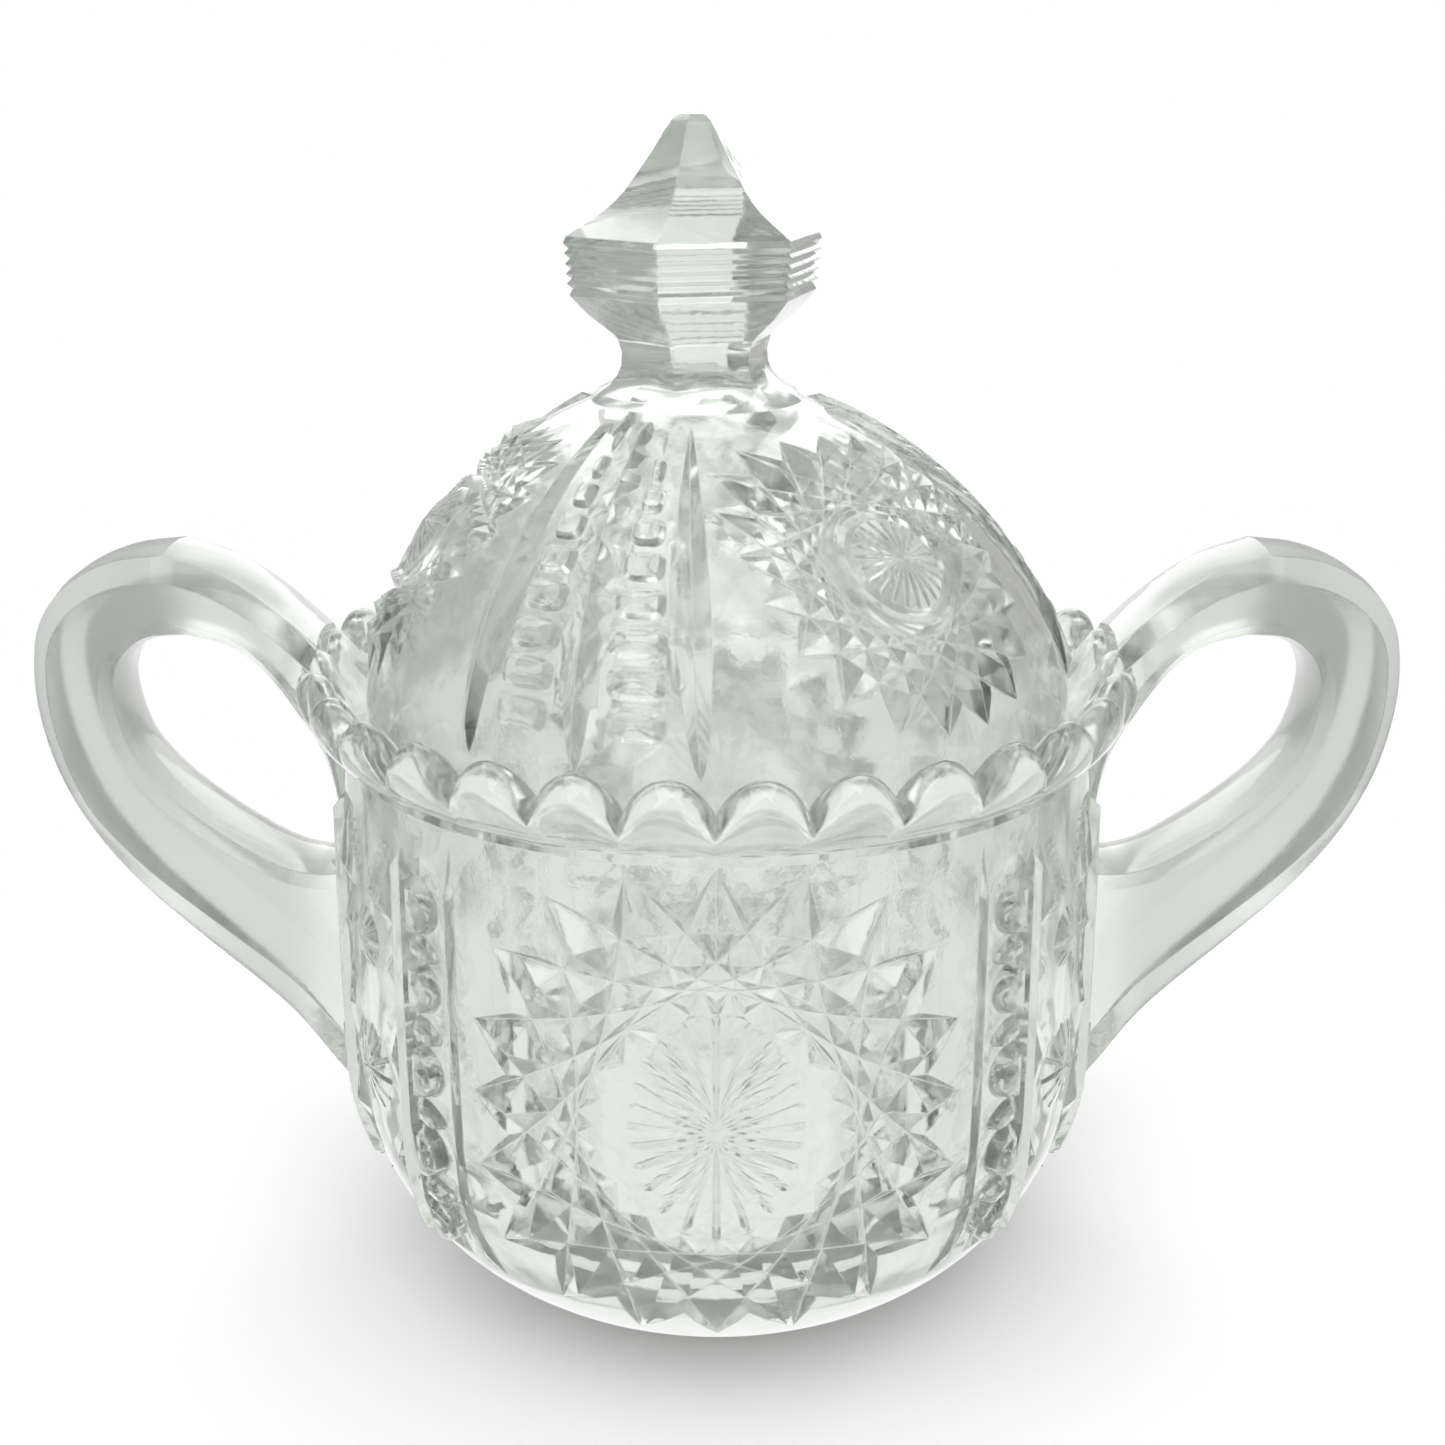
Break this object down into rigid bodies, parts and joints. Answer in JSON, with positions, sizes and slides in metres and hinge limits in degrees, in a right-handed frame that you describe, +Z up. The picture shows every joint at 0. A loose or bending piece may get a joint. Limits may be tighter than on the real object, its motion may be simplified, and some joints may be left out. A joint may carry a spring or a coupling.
{
  "type": "covered glass bowl",
  "caption": "Two-handled round bowl in pressed clear glass with a scalloped collar, star panels and a lift-off domed lid with a pointed six-sided finial.",
  "frame": {"origin": "middle of the foot, on the surface that the bowl stands on", "axes": "+Z up along the bowl's axis, X through both handles, front star panel towards -Y"},
  "size_m": [0.1988, 0.1214, 0.168],
  "materials": {
    "bowl_glass": "clear pressed glass, fire-polished, with a faint grey-green cast",
    "lid_glass": "clear pressed glass, fire-polished, with a faint grey-green cast"
  },
  "bodies": {
    "bowl": {"bowl": "bowl_glass"},
    "lid": {"lid": "lid_glass"}
  },
  "joints": [
    {"name": "lid_lift", "type": "slide", "parent": "bowl", "child": "lid", "axis": [0, 0, 1], "range_m": [0, 0.1]}
  ]
}
